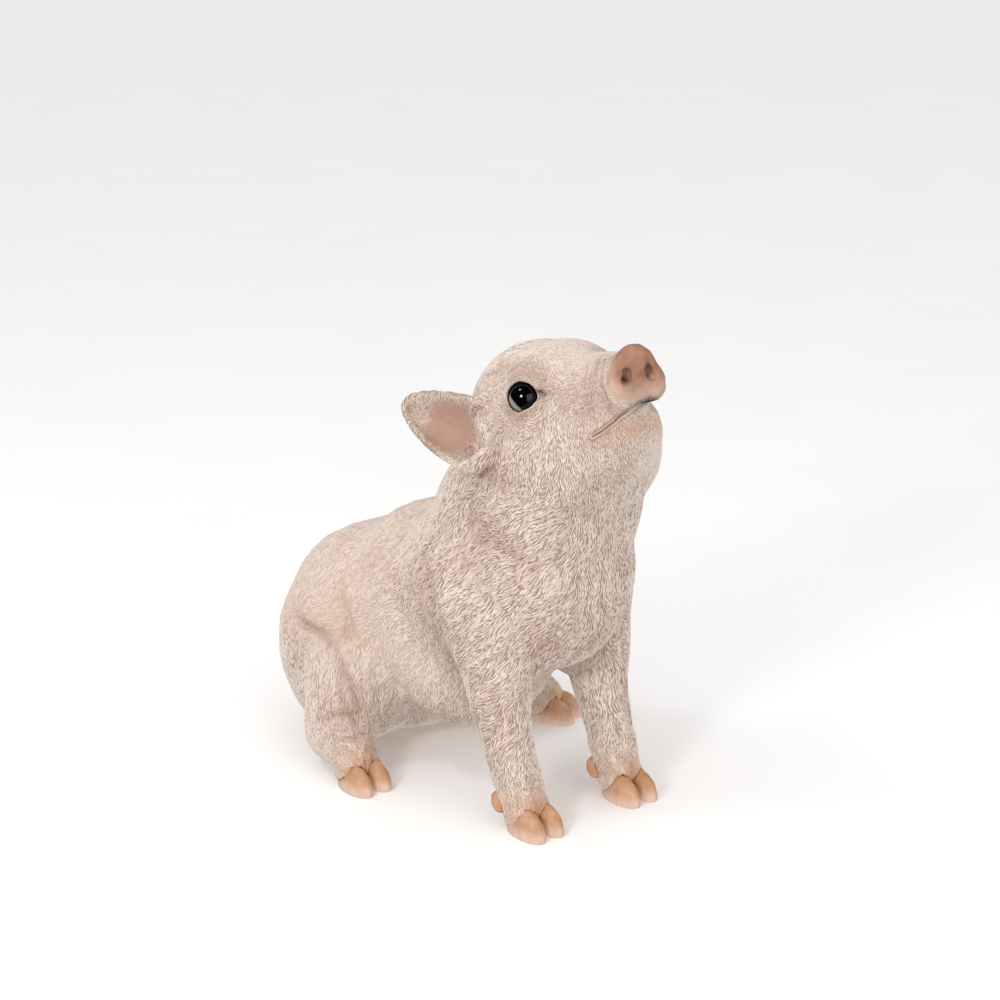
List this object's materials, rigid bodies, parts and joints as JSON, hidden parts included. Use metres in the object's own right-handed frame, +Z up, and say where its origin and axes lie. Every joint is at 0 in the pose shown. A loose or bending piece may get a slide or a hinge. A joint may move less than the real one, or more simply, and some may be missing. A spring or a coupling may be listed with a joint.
{
  "type": "piglet figurine",
  "caption": "Sitting piglet figurine of hand-painted polyresin, head raised, with carved short hair, cupped ears, glossy glass eyes, cloven hooves and a small curled tail.",
  "frame": {"origin": "centre of the figure's bounding box, at the floor it rests on", "axes": "+Z up, -Y the way the piglet's head and chest face, -X its right side"},
  "size_m": [0.103, 0.16, 0.16],
  "materials": {
    "painted_skin": "matt cream and pink paint over polyresin, a brown wash in the carved hair",
    "snout": "satin pink-tan paint over polyresin",
    "hoof": "satin orange-tan paint over polyresin",
    "glass_eye": "glossy, almost black"
  },
  "bodies": {
    "root": {"ear_left": "painted_skin", "ear_right": "painted_skin", "eye_left": "glass_eye", "eye_right": "glass_eye", "fore_left_inner_claw": "hoof", "fore_left_inner_dewclaw": "hoof", "fore_left_outer_claw": "hoof", "fore_left_outer_dewclaw": "hoof", "fore_right_inner_claw": "hoof", "fore_right_inner_dewclaw": "hoof", "fore_right_outer_claw": "hoof", "fore_right_outer_dewclaw": "hoof", "head": "painted_skin", "hind_foot_left": "painted_skin", "hind_foot_right": "painted_skin", "hind_left_inner_claw": "hoof", "hind_left_outer_claw": "hoof", "hind_right_inner_claw": "hoof", "hind_right_outer_claw": "hoof", "lower_foreleg_left": "painted_skin", "lower_foreleg_right": "painted_skin", "lower_jaw": "painted_skin", "neck": "painted_skin", "snout": "snout", "tail": "painted_skin", "thigh_left": "painted_skin", "thigh_right": "painted_skin", "torso": "painted_skin", "upper_foreleg_left": "painted_skin", "upper_foreleg_right": "painted_skin"}
  },
  "joints": []
}
